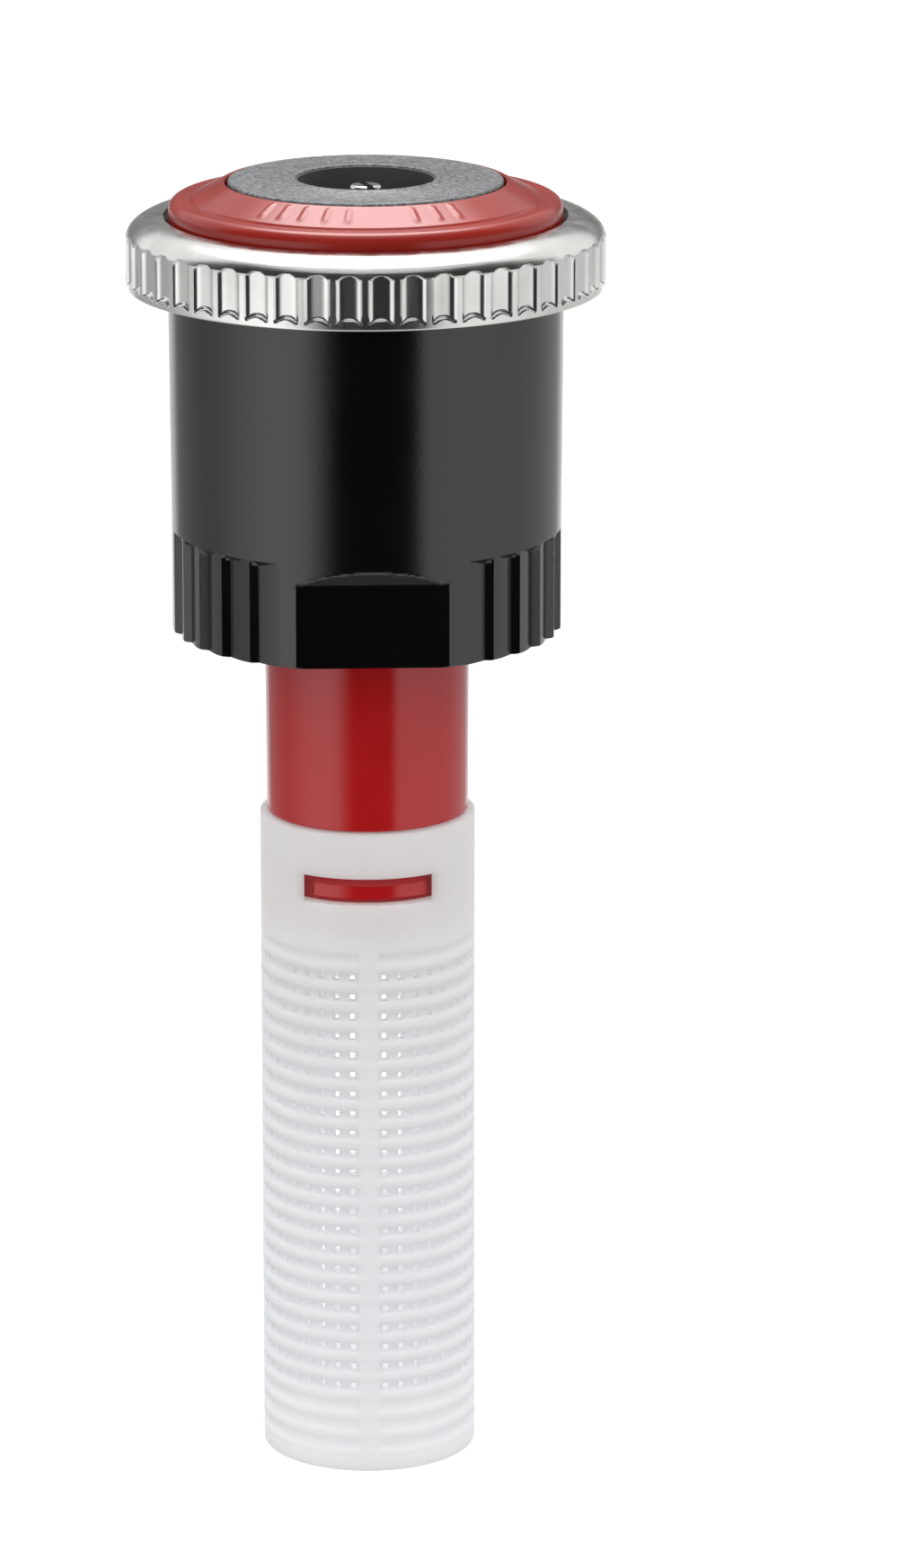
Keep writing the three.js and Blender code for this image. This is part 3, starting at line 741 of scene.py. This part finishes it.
def make_carrier():
    """The plastic cup inside the steel ring, which hangs by its rim over the body's wall."""
    outline = rounded([
        (CARRIER_SKIRT_BORE, CARRIER_BOTTOM, 0.1),
        (CARRIER_RADIUS, CARRIER_BOTTOM, 0.1),
        (CARRIER_RADIUS, CARRIER_TOP, 0.1),
        (CUP_BORE, CARRIER_TOP, 0.25),
        (CUP_BORE, CUP_FLOOR, 0.3),
        (CUP_HOLE, CUP_FLOOR, 0.1),
        (CUP_HOLE, CUP_BOTTOM),
        (CUP_RADIUS, CUP_BOTTOM, 0.2),
        (CUP_RADIUS, CARRIER_LIP_BOTTOM),
        (CARRIER_SKIRT_BORE, CARRIER_LIP_BOTTOM),
    ])
    stand_in(revolved("ring_insert", outline, INNER_BLACK), "ring_carrier")


# ---- Rotor ----

ROTOR_RADIUS, ROTOR_NOSE, ROTOR_TOP = 12.05, *span("rotor_plate")[1:]
CONE_TOP_RADIUS, CONE_TOP, NOSE_RADIUS = 9.9, 24.9, 3.2
RIM_BOTTOM, RIM_TOP = 25.1, 26.8
BAND_RADIUS, BAND_FOOT, BAND_STEP = 10.6, 26.88, 0.14  # the band climbs from a small step to the cap
RECESS_RADIUS, RECESS_FLOOR = 8.52, 26.7
CHAMBER_RADIUS, CHAMBER_FLOOR = 6.2, 20.0
ROTOR_BORE, BEARING_RADIUS, BEARING_BOTTOM = 1.3, 1.85, 17.4
SEAL_RADIUS, SEAL_BOTTOM = 2.3, 16.0
STREAMS = 14
STREAM_DEPTH = 0.55
STREAM_HALF_ANGLE = math.radians(6.5)
STREAM_SWEEP = math.radians(22)
STREAM_BEND_START = 0.45  # share of the climb
TICK_INNER, TICK_OUTER, TICK_RISE = 9.0, 10.2, 0.07
TICKS = [math.radians(turn) for turn in (-40, -32, -24, -16, -8, 16, 24, 32)]
TICK_HALF_WIDTH = math.radians(1.1)


def tick_rise(radius, angle):
    """Height of the raised reference ticks on the rotor's sloping band."""
    if not TICK_INNER < radius < TICK_OUTER:
        return 0.0
    away = min(abs(turn_from(angle, FRONT + tick)) for tick in TICKS)
    return TICK_RISE if away < TICK_HALF_WIDTH else 0.0


def cone_radius(height):
    """Radius of the rotor's underside, which widens evenly from its nose to its rim."""
    climb = (height - ROTOR_NOSE) / (CONE_TOP - ROTOR_NOSE)
    return NOSE_RADIUS + (CONE_TOP_RADIUS - NOSE_RADIUS) * climb


def on_cone(radius, height):
    """True for the outline's edges along the rotor's underside."""
    return radius > NOSE_RADIUS - 0.1 and height < CONE_TOP and abs(radius - cone_radius(height)) < 0.1


def on_band(radius, height):
    """True for the outline's edges under the ticks."""
    return TICK_INNER - 0.3 < radius < TICK_OUTER + 0.3 and height > RIM_TOP


def rotor_surface(radius, height, angle):
    """The stream channels, which climb the cone and bend round the axis near its top."""
    climb = (height - ROTOR_NOSE) / (CONE_TOP - ROTOR_NOSE)
    if not 0 < climb <= 1 or abs(radius - cone_radius(height)) > 0.05:
        return radius
    bend = STREAM_SWEEP * max(0.0, climb - STREAM_BEND_START) ** 2 / 0.3
    from_channel = abs(((angle - bend) * STREAMS / (2 * math.pi)) % 1 * 2 - 1)
    across = from_channel * math.pi / STREAMS / STREAM_HALF_ANGLE
    if across >= 1:
        return radius
    return radius - STREAM_DEPTH * math.sqrt(1 - across ** 2) * min(1.0, climb * 6)


def make_rotor():
    """The red deflector: a cone with stream channels, the rim and the sloping band with its ticks."""
    outline = rounded([
        (ROTOR_BORE, ROTOR_NOSE),
        (NOSE_RADIUS, ROTOR_NOSE, 0.2),
        (CONE_TOP_RADIUS, CONE_TOP),
        (CONE_TOP_RADIUS, RIM_BOTTOM),
        (ROTOR_RADIUS, RIM_BOTTOM, 0.25),
        (ROTOR_RADIUS, RIM_TOP, 1.2),
        (BAND_RADIUS + 0.12, BAND_FOOT - BAND_STEP, 0.03),
        (BAND_RADIUS, BAND_FOOT, 0.03),
        (RECESS_RADIUS + 0.08, ROTOR_TOP, 0.12),
        (RECESS_RADIUS, RECESS_FLOOR),
        (CHAMBER_RADIUS, RECESS_FLOOR),
        (CHAMBER_RADIUS, CHAMBER_FLOOR),
        (BEARING_RADIUS, CHAMBER_FLOOR),
        (BEARING_RADIUS, BEARING_BOTTOM),
        (SEAL_RADIUS, BEARING_BOTTOM),
        (SEAL_RADIUS, SEAL_BOTTOM),
        (ROTOR_BORE, SEAL_BOTTOM),
    ], steps=7)
    outline = refined(outline, 0.25, on_cone)
    outline = refined(outline, 0.2, on_band)
    piece = revolved("rotor_deflector", outline, ROTOR_RED, even_angles(504), rotor_surface, sharp=40)
    for vertex in piece.data.vertices:
        x, y, z = vertex.co / MM
        if z > RIM_TOP:
            vertex.co.z += tick_rise(math.hypot(x, y), math.atan2(y, x)) * MM
    stand_in(piece, "rotor_plate")


CAP_RADIUS, CAP_BOTTOM, CAP_TOP = span("rotor_cap")
CAP_HOLE = 4.15
# The sleeve in the key hole is painted shade: a thin black skin where the hole lies in shade.
HOLE_SHADE_RADIUS = CAP_HOLE + 0.12
CAP_FACE = CAP_TOP - 0.1  # a low rim stands round the hole above the label's face
HOLE_SHADE_TOP = CAP_TOP - 0.12
PLUG_RADIUS, PLUG_BORE, PLUG_BOTTOM = 6.1, 1.85, 22.9
PLUG_TOP = span("chamber_plug")[2]
UPPER_SEAL_RADIUS, UPPER_SEAL_TOP = 2.75, 23.6


def make_cap():
    """The grey disc, and a thin black sleeve down its key hole: painted shade for the hole's dark inside."""
    outline = rounded([
        (HOLE_SHADE_RADIUS, CAP_BOTTOM),
        (CAP_RADIUS, CAP_BOTTOM),
        (CAP_RADIUS, CAP_FACE, 0.18),
        (CAP_HOLE + 0.55, CAP_FACE),
        (CAP_HOLE + 0.4, CAP_TOP, 0.06),
        (HOLE_SHADE_RADIUS, CAP_TOP, 0.1),
    ], steps=6)
    stand_in(revolved("cap_disc", outline, GREY, even_angles(256)), "rotor_cap")
    # Painted shade: a black sleeve from the plug up to the cap's face darkens the hole's wall.
    hole_shade = rounded([
        (CAP_HOLE, PLUG_TOP + 0.1),
        (HOLE_SHADE_RADIUS, PLUG_TOP + 0.1),
        (HOLE_SHADE_RADIUS, HOLE_SHADE_TOP),
        (CAP_HOLE, HOLE_SHADE_TOP, 0.05),
    ])
    stand_in(revolved("cap_hole_shade", hole_shade, INNER_BLACK, even_angles(96)), "rotor_cap")


def make_plug():
    """The black disc under the key hole, which closes the brake's chamber."""
    outline = rounded([
        (PLUG_BORE, PLUG_TOP, 0.1),
        (PLUG_RADIUS, PLUG_TOP, 0.1),
        (PLUG_RADIUS, PLUG_BOTTOM),
        (UPPER_SEAL_RADIUS, PLUG_BOTTOM),
        (UPPER_SEAL_RADIUS, UPPER_SEAL_TOP),
        (PLUG_BORE, UPPER_SEAL_TOP),
    ])
    stand_in(revolved("plug_disc", outline, INNER_BLACK), "chamber_plug")


# ---- Shaft ----

SHAFT_RADIUS, SHAFT_BOTTOM, SHAFT_TOP = 1.0, *span("radius_screw")[1:]
CLIP_GROOVE_RADIUS, CLIP_GROOVE_BOTTOM, CLIP_GROOVE_TOP = 0.75, -6.9, -6.25
SLOT_HALF_WIDTH, SLOT_FLOOR = 0.225, 26.7
SLOT_TURN = math.radians(17)


def make_shaft():
    """The adjusting shaft, with the clip's groove below and the key's slot in its upper end."""
    outline = rounded([
        (0, SHAFT_BOTTOM),
        (SHAFT_RADIUS, SHAFT_BOTTOM, 0.15),
        (SHAFT_RADIUS, CLIP_GROOVE_BOTTOM),
        (CLIP_GROOVE_RADIUS, CLIP_GROOVE_BOTTOM),
        (CLIP_GROOVE_RADIUS, CLIP_GROOVE_TOP),
        (SHAFT_RADIUS, CLIP_GROOVE_TOP),
        (SHAFT_RADIUS, SHAFT_TOP, 0.25),
        (0, SHAFT_TOP),
    ])
    piece = revolved("key_shaft", outline, SHAFT_STEEL, even_angles(64))
    cutter_height = 2.0
    bpy.ops.mesh.primitive_cube_add(size=1, location=(0, 0, (SLOT_FLOOR + cutter_height / 2) * MM))
    cutter = bpy.context.object
    cutter.scale = (2 * SLOT_HALF_WIDTH * MM, 4 * SHAFT_RADIUS * MM, cutter_height * MM)
    cutter.rotation_euler.z = SLOT_TURN
    cut = piece.modifiers.new("slot", "BOOLEAN")
    cut.operation = "DIFFERENCE"
    cut.solver = "EXACT"
    cut.object = cutter
    bpy.context.view_layer.update()
    evaluated = piece.evaluated_get(bpy.context.evaluated_depsgraph_get())
    slotted = bpy.data.meshes.new_from_object(evaluated)
    piece.modifiers.clear()
    piece.data = slotted
    bpy.data.objects.remove(cutter)
    slotted.set_sharp_from_angle(angle=math.radians(35))
    stand_in(piece, "radius_screw")


# ---- Return spring ----

COIL_RADIUS, WIRE_RADIUS, COILS = 1.9, 0.2, 7


def make_spring():
    """The return coil, wound evenly between the CAD spring's ends. The real coil shortens as the rotor pops up;
    this one keeps its length.
    """
    _, low, high = span("return_spring")
    steps, sides = 36 * COILS, 10
    climb = (high - low - 2 * WIRE_RADIUS) / steps
    vertices, faces = [], []
    for step in range(steps + 1):
        turn = 2 * math.pi * COILS * step / steps
        for side in even_angles(sides):
            radius = COIL_RADIUS + WIRE_RADIUS * math.cos(side)
            height = low + WIRE_RADIUS + climb * step + WIRE_RADIUS * math.sin(side)
            vertices.append((radius * math.cos(turn), radius * math.sin(turn), height))
    for first in range(0, steps * sides, sides):
        for side in range(sides):
            after = (side + 1) % sides
            faces.append([first + side, first + after, first + sides + after, first + sides + side])
    faces.append(list(range(sides)))
    faces.append(list(range(steps * sides, (steps + 1) * sides)))
    piece = stand_in(finish_mesh("return_coil", vertices, faces, SPRING_STEEL), "return_spring")
    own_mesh(piece)


# ---- Camera, light and floor ----

# Place and aim of the camera: distance from the axis and height, in millimetres, and angles.
CAMERA_DISTANCE, CAMERA_HEIGHT = 439.0, 107.95
CAMERA_AZIMUTH = math.radians(-1.8)
CAMERA_PITCH = math.radians(15.065)
CAMERA_YAW = math.radians(-0.6705)
CAMERA_LENS = 167.8


def make_camera():
    """The photograph's viewpoint, a little above the ring and nearly in front."""
    camera = bpy.data.objects.new("camera", bpy.data.cameras.new("camera"))
    camera.data.lens = CAMERA_LENS
    camera.data.clip_start = 0.01
    camera.data.clip_end = 20
    camera.location = (
        CAMERA_DISTANCE * MM * math.sin(CAMERA_AZIMUTH),
        -CAMERA_DISTANCE * MM * math.cos(CAMERA_AZIMUTH),
        CAMERA_HEIGHT * MM,
    )
    camera.rotation_euler = (math.pi / 2 - CAMERA_PITCH, 0, CAMERA_AZIMUTH + CAMERA_YAW)
    bpy.context.scene.collection.objects.link(camera)
    bpy.context.scene.camera = camera


def make_world():
    """A white light tent that leaves its front open, so what faces the camera squarely reflects the dark.

    Reflections show the tent's boxes and sheets, matt surfaces are lit as by an even cloth all round, and
    the camera sees plain white.
    """
    world = bpy.data.worlds.new("light_tent")
    world.use_nodes = True
    bpy.context.scene.world = world
    tree = world.node_tree
    tree.nodes.clear()
    links = tree.links
    direction = tree.nodes.new("ShaderNodeTexCoord").outputs["Generated"]
    axes = tree.nodes.new("ShaderNodeSeparateXYZ")
    links.new(direction, axes.inputs["Vector"])

    def math_node(operation, first, second=None):
        node = tree.nodes.new("ShaderNodeMath")
        node.operation = operation
        for socket, value in zip(node.inputs, (first, second)):
            if isinstance(value, (int, float)):
                socket.default_value = value
            elif value is not None:
                links.new(value, socket)
        return node.outputs["Value"]

    def ramp(value, start, end):
        """0 before start, 1 after end, and smooth between."""
        node = tree.nodes.new("ShaderNodeMapRange")
        node.interpolation_type = "SMOOTHSTEP"
        node.inputs["From Min"].default_value = start
        node.inputs["From Max"].default_value = end
        links.new(value, node.inputs["Value"])
        return node.outputs["Result"]

    def product(*factors):
        """All the factors multiplied."""
        result = factors[0]
        for factor in factors[1:]:
            result = math_node("MULTIPLY", result, factor)
        return result

    def brightest(*lights):
        """The brightest of the lights in each direction."""
        result = lights[0]
        for light in lights[1:]:
            result = math_node("MAXIMUM", result, light)
        return result

    # Azimuth is 0 at the front and grows to the right.
    azimuth = math_node("ARCTAN2", axes.outputs["X"], math_node("MULTIPLY", axes.outputs["Y"], -1))
    height = axes.outputs["Z"]

    def above(start, end):
        """0 at elevation start, 1 at end, in degrees."""
        return ramp(height, math.sin(math.radians(start)), math.sin(math.radians(end)))

    def beyond(start, end):
        """0 at azimuth start, 1 at end, in degrees."""
        return ramp(azimuth, math.radians(start), math.radians(end))

    def fading(start, end, loss):
        """1 at azimuth start, and less by loss at end."""
        return math_node("SUBTRACT", 1, product(beyond(start, end), loss))

    # What reflections show: a box at each side, then what stands behind, lies below and hangs above.
    low = above(6, -4)
    right_box = product(beyond(25, 35), low, 1.12, fading(55, 115, 0.3))
    left_box = product(beyond(-16, -44), low, 1.45, fading(-55, -115, 0.65))
    behind = axes.outputs["Y"]
    haze = product(ramp(behind, -0.3, 0.3), above(-4, 6), 0.22)
    # The ceiling comes down lower at the sides than straight behind.
    lifted = math_node("SUBTRACT", height, product(ramp(behind, 0.75, 0.92), 0.37))
    ceiling = product(ramp(behind, 0.0, 0.3), ramp(lifted, -0.05, 0.1), 1.15)
    sheet = product(ramp(behind, 0.8, 0.9), above(-2, -8), 1.35)
    ground = product(above(-22, -50), 0.7)
    overhead = product(above(52, 66), 0.8)
    towards = tree.nodes.new("ShaderNodeVectorMath")
    towards.operation = "DOT_PRODUCT"
    towards.inputs[1].default_value = (0, 0.42, 0.91)
    links.new(direction, towards.inputs[0])
    edge, core = math.cos(math.radians(28)), math.cos(math.radians(6))
    soft_box = product(ramp(towards.outputs["Value"], edge, core), 11.0)
    glow = brightest(right_box, left_box, haze, ceiling, sheet, ground, overhead, soft_box)
    reflected = math_node("ADD", glow, 0.03)
    # For matt surfaces the cloth is a little dimmer below and brighter overhead.
    path = tree.nodes.new("ShaderNodeLightPath")
    gloss = path.outputs["Is Glossy Ray"]
    matt = math_node("SUBTRACT", 1, gloss)
    around = math_node("ADD", product(ramp(height, -0.3, 0.3), 0.3), 0.84)
    scattered = math_node("ADD", product(ramp(height, 0.7, 1.0), 3.1), around)
    tent = tree.nodes.new("ShaderNodeBackground")
    links.new(math_node("ADD", product(reflected, gloss), product(scattered, matt)), tent.inputs["Strength"])
    backdrop = tree.nodes.new("ShaderNodeBackground")
    backdrop.inputs["Color"].default_value = (1, 1, 1, 1)
    mix = tree.nodes.new("ShaderNodeMixShader")
    output = tree.nodes.new("ShaderNodeOutputWorld")
    links.new(path.outputs["Is Camera Ray"], mix.inputs["Fac"])
    links.new(tent.outputs["Background"], mix.inputs[1])
    links.new(backdrop.outputs["Background"], mix.inputs[2])
    links.new(mix.outputs["Shader"], output.inputs["Surface"])


def make_floor():
    """A wide pale table top, as far below the filter as the filter pulls down. Only the camera sees it."""
    material, tree, shader = node_tree("table_white")
    tone = noise(tree, coordinates(tree), 3, detail=2)
    tree.links.new(two_tone(tree, tone, (0.3, 0.3, 0.3), (0.32, 0.32, 0.32)), shader.inputs["Base Color"])
    shader.inputs["Roughness"].default_value = 0.9
    shader.inputs["Emission Color"].default_value = (1, 1, 1, 1)
    shader.inputs["Emission Strength"].default_value = 0.7
    mesh = bpy.data.meshes.new("table")
    level = CAD_BOX[0].z + travel("filter_pull")[0] - 0.1 * MM
    reach = 8.0
    ends = ((-reach, -reach), (reach, -reach), (reach, reach), (-reach, reach))
    corners = [(x, y, level) for x, y in ends]
    mesh.from_pydata(corners, [], [(0, 1, 2, 3)])
    mesh.materials.append(material)
    table = bpy.data.objects.new("table", mesh)
    table.visible_glossy = False
    table.visible_diffuse = False
    bpy.context.scene.collection.objects.link(table)


def paint_inner_nodes():
    """The small inner pieces keep their CAD shapes and take their real materials."""
    looks = {
        "valve_hub": INNER_BLACK,
        "orifice_sleeve": INNER_BLACK,
        "throttle_nut": INNER_BLACK,
        "riser_gasket": RUBBER,
        "stem_o_ring": RUBBER,
        "ring_wiper_seal": RUBBER,
        "upper_seal": RUBBER,
        "lower_seal": RUBBER,
        "upper_bearing": BEARING,
        "lower_bearing": BEARING,
        "brake_stator": BEARING,
        "spring_washer": SHAFT_STEEL,
        "shaft_clip": SPRING_STEEL,
    }
    for node, material in looks.items():
        for place in frame["nodes"][node].material_slots:
            place.material = material


make_camera()
make_world()
make_floor()
make_body()
make_stem()
make_filter()
make_ring()
make_carrier()
make_rotor()
make_cap()
make_plug()
make_shaft()
make_spring()
paint_inner_nodes()

bpy.context.scene.view_settings.view_transform = "Standard"
